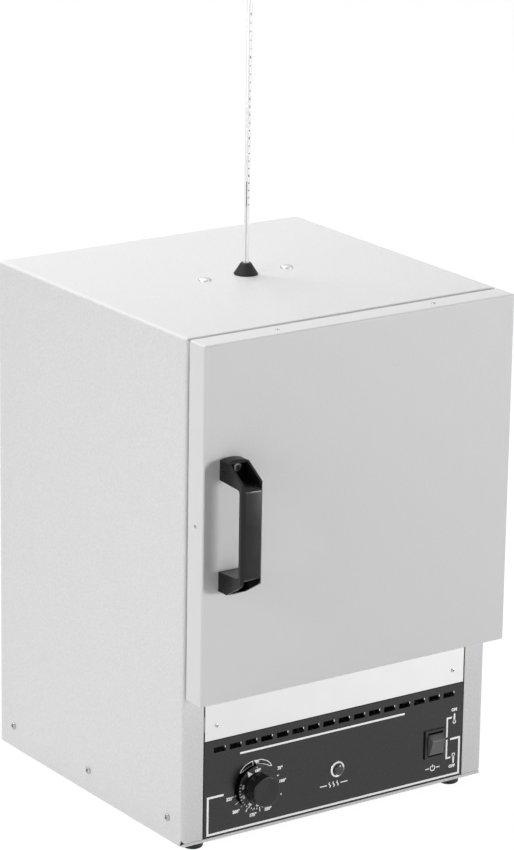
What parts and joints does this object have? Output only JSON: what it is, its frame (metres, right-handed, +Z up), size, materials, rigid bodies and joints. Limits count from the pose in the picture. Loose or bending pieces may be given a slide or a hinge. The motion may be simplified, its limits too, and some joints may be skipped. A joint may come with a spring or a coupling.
{
  "type": "drying oven",
  "caption": "Benchtop drying oven: insulated cabinet with a hinged door, wire shelves, dial thermostat, pilot lamp, rocker switch and a thermometer in a roof stopper.",
  "frame": {"origin": "centre of the object's footprint at the underside of the feet", "axes": "+Z up, -Y out of the front with the door, +X to the right as seen from the front"},
  "size_m": [0.3734, 0.4226, 0.8144],
  "materials": {
    "cabinet_paint": "satin, fine texture",
    "plate_paint": "satin",
    "panel_paint": "matt black with white print",
    "zinc": "zinc plated",
    "bright_steel": "brushed",
    "screw_head": "plated",
    "dome_screw": "satin",
    "chrome_ring": "polished",
    "sheath": "heat-darkened",
    "ceramic": "glazed",
    "batt": "mineral wool",
    "black_rubber": "matt",
    "gasket_rubber": "matt",
    "black_plastic": "moulded",
    "dial_plastic": "satin with white print",
    "phenolic": "moulded",
    "copper": "plain",
    "lens": "smoked",
    "paddle": "satin",
    "magnet": "ferrite",
    "stem_glass": "clear",
    "column": "liquid"
  },
  "bodies": {
    "cabinet": {"wrapper": "cabinet_paint", "back_panel": "cabinet_paint", "back_screws": "screw_head", "base_pan": "cabinet_paint", "side_screws": "screw_head", "feet": "black_rubber", "foot_screws": "zinc", "face_plate": "plate_paint", "plate_screws": "screw_head", "control_panel": "panel_paint", "mid_deck": "zinc", "chamber_liner": "bright_steel", "insulation_top": "batt", "insulation_sides": "batt", "insulation_back": "batt", "insulation_floor": "batt", "shelf_supports": "bright_steel", "diffuser_plate": "bright_steel", "heating_element": "sheath", "element_supports": "zinc", "element_bushings": "ceramic", "thermostat": "phenolic", "thermostat_nut": "zinc", "thermostat_bulb": "copper", "lamp_bezel": "chrome_ring", "lamp_lens": "lens", "switch_housing": "black_plastic", "cord_gland": "black_plastic", "vent_tube": "zinc", "stopper": "black_rubber", "top_screws": "dome_screw", "catch_magnet": "magnet", "hinge_case_leaf": "bright_steel", "hinge_pin": "bright_steel", "hinge_case_screws": "screw_head"},
    "door": {"door_skin": "cabinet_paint", "door_inner_panel": "bright_steel", "door_insulation": "batt", "door_gasket": "gasket_rubber", "handle": "black_plastic", "handle_screws": "screw_head", "handle_nuts": "zinc", "door_screws": "screw_head", "strike_plate": "bright_steel", "hinge_door_leaf": "bright_steel", "hinge_door_screws": "screw_head"},
    "knob": {"dial_skirt": "dial_plastic", "knob_cap": "dial_plastic", "thermostat_shaft": "zinc"},
    "rocker": {"rocker_paddle": "paddle"},
    "thermometer": {"thermometer_glass": "stem_glass", "thermometer_column": "column"},
    "upper_shelf": {"upper_shelf": "bright_steel"},
    "lower_shelf": {"lower_shelf": "bright_steel"}
  },
  "joints": [
    {"name": "door_hinge", "type": "hinge", "parent": "cabinet", "child": "door", "pos_m": [0.18455, -0.14345, 0.3474], "axis": [0, 0, 1], "range_deg": [0, 180]},
    {"name": "knob_turn", "type": "hinge", "parent": "cabinet", "child": "knob", "pos_m": [-0.09705, -0.15095, 0.0574], "axis": [0, 1, 0], "range_deg": [0, 300]},
    {"name": "rocker_tilt", "type": "hinge", "parent": "cabinet", "child": "rocker", "pos_m": [0.12375, -0.13595, 0.0556], "axis": [-1, 0, 0], "range_deg": [0, 12]},
    {"name": "thermometer_slide", "type": "slide", "parent": "cabinet", "child": "thermometer", "axis": [0, 0, 1], "range_m": [0, 0.15]},
    {"name": "upper_shelf_slide", "type": "slide", "parent": "cabinet", "child": "upper_shelf", "axis": [0, -1, 0], "range_m": [0, 0.027]},
    {"name": "lower_shelf_slide", "type": "slide", "parent": "cabinet", "child": "lower_shelf", "axis": [0, -1, 0], "range_m": [0, 0.027]}
  ]
}
